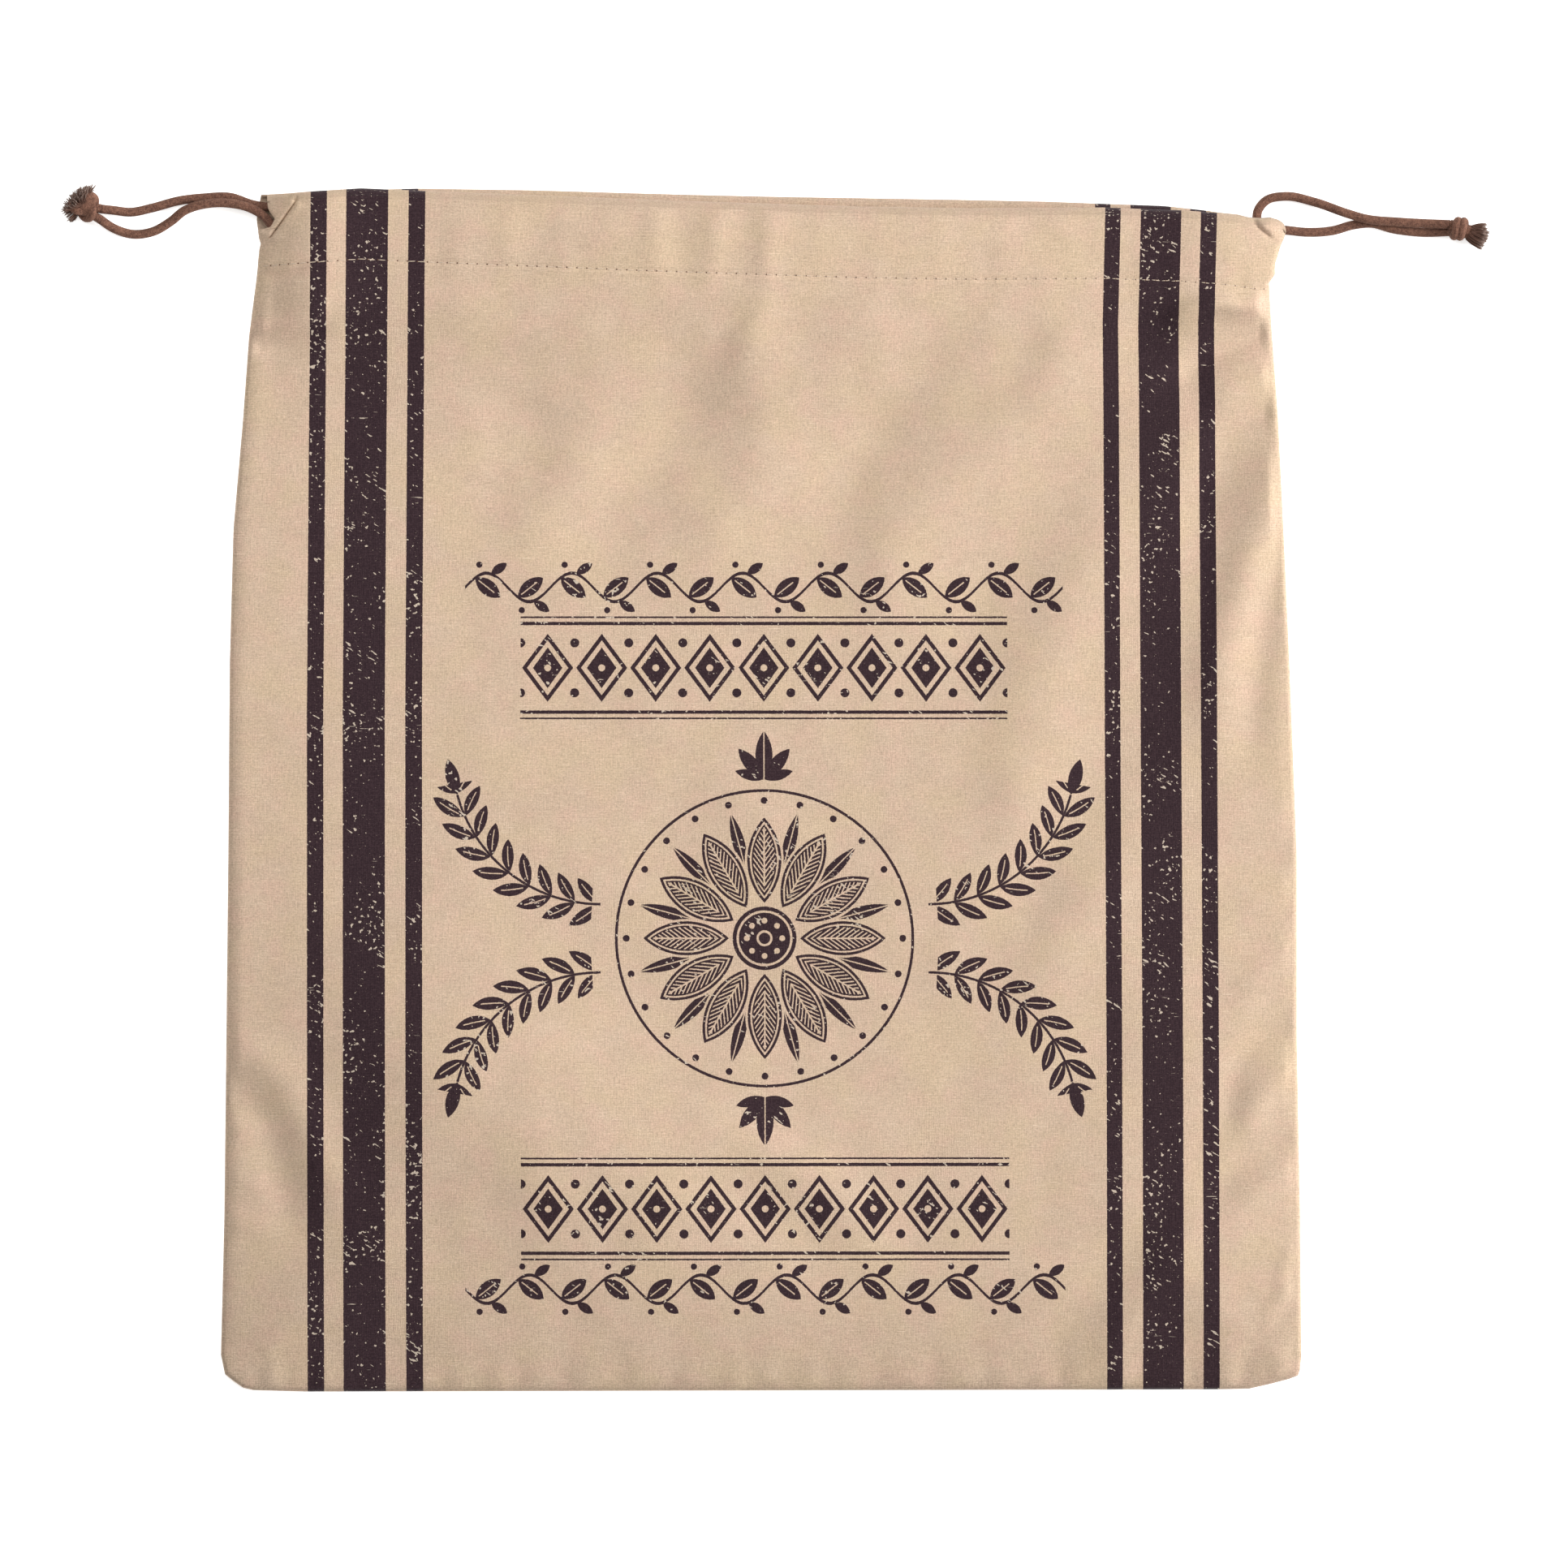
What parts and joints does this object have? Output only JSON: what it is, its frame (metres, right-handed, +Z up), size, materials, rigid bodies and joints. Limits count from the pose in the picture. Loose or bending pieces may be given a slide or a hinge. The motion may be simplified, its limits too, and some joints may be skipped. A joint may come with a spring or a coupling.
{
  "type": "drawstring bread bag",
  "caption": "Flat cotton drawstring bag lying on its back, sewn at the sides and bottom, with a casing round its open mouth and knotted cords that draw it shut.",
  "frame": {"origin": "on the surface that the bag lies on, under the middle of its cloth", "axes": "+Z up from the surface, +Y towards the mouth, +X to the right seen from above with the mouth at the top"},
  "size_m": [0.502, 0.4255, 0.0165],
  "materials": {
    "natural_cotton": "matt plain weave",
    "brown_cord": "matt soft braid"
  },
  "bodies": {
    "root": {"front_panel": "natural_cotton", "back_panel": "natural_cotton", "left_cord": "brown_cord", "right_cord": "brown_cord", "left_knot": "brown_cord", "right_knot": "brown_cord"}
  },
  "joints": []
}
